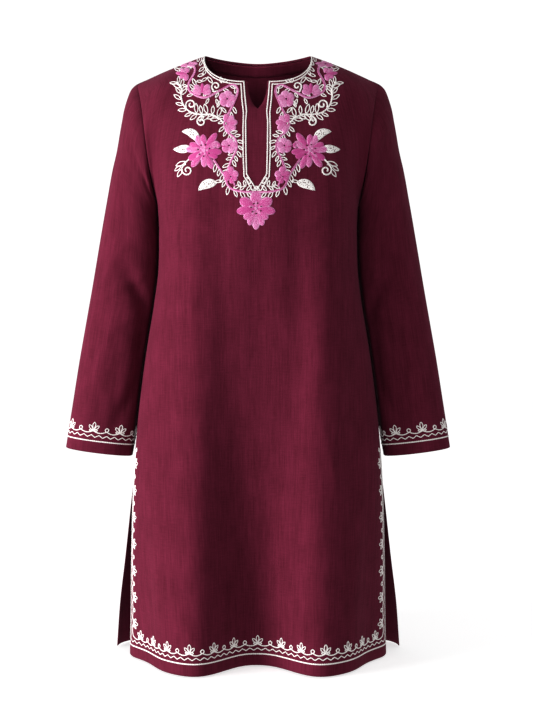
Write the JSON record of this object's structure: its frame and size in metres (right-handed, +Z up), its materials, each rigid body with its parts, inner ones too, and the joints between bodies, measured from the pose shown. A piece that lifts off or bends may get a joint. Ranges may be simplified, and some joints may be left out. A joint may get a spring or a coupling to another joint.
{
  "type": "kurta tunic",
  "caption": "Knee-length kurta tunic with long sleeves, a slit round neck and open side slits, filled out as worn, with embroidered borders.",
  "frame": {"origin": "middle of the shoulder line, where the wearer's shoulders hold the garment", "axes": "+X to the wearer's left, the front faces -Y, +Z up"},
  "size_m": [0.6274, 0.2563, 0.9743],
  "materials": {
    "cloth": "maroon cotton and linen plain weave with slubs, matt",
    "white_thread": "off-white stranded embroidery thread, a soft sheen",
    "pink_thread": "pink stranded embroidery thread, a soft sheen"
  },
  "bodies": {
    "root": {"front": "cloth", "back": "cloth", "sleeve_left": "cloth", "sleeve_right": "cloth", "back_neck_facing": "cloth"}
  },
  "joints": []
}
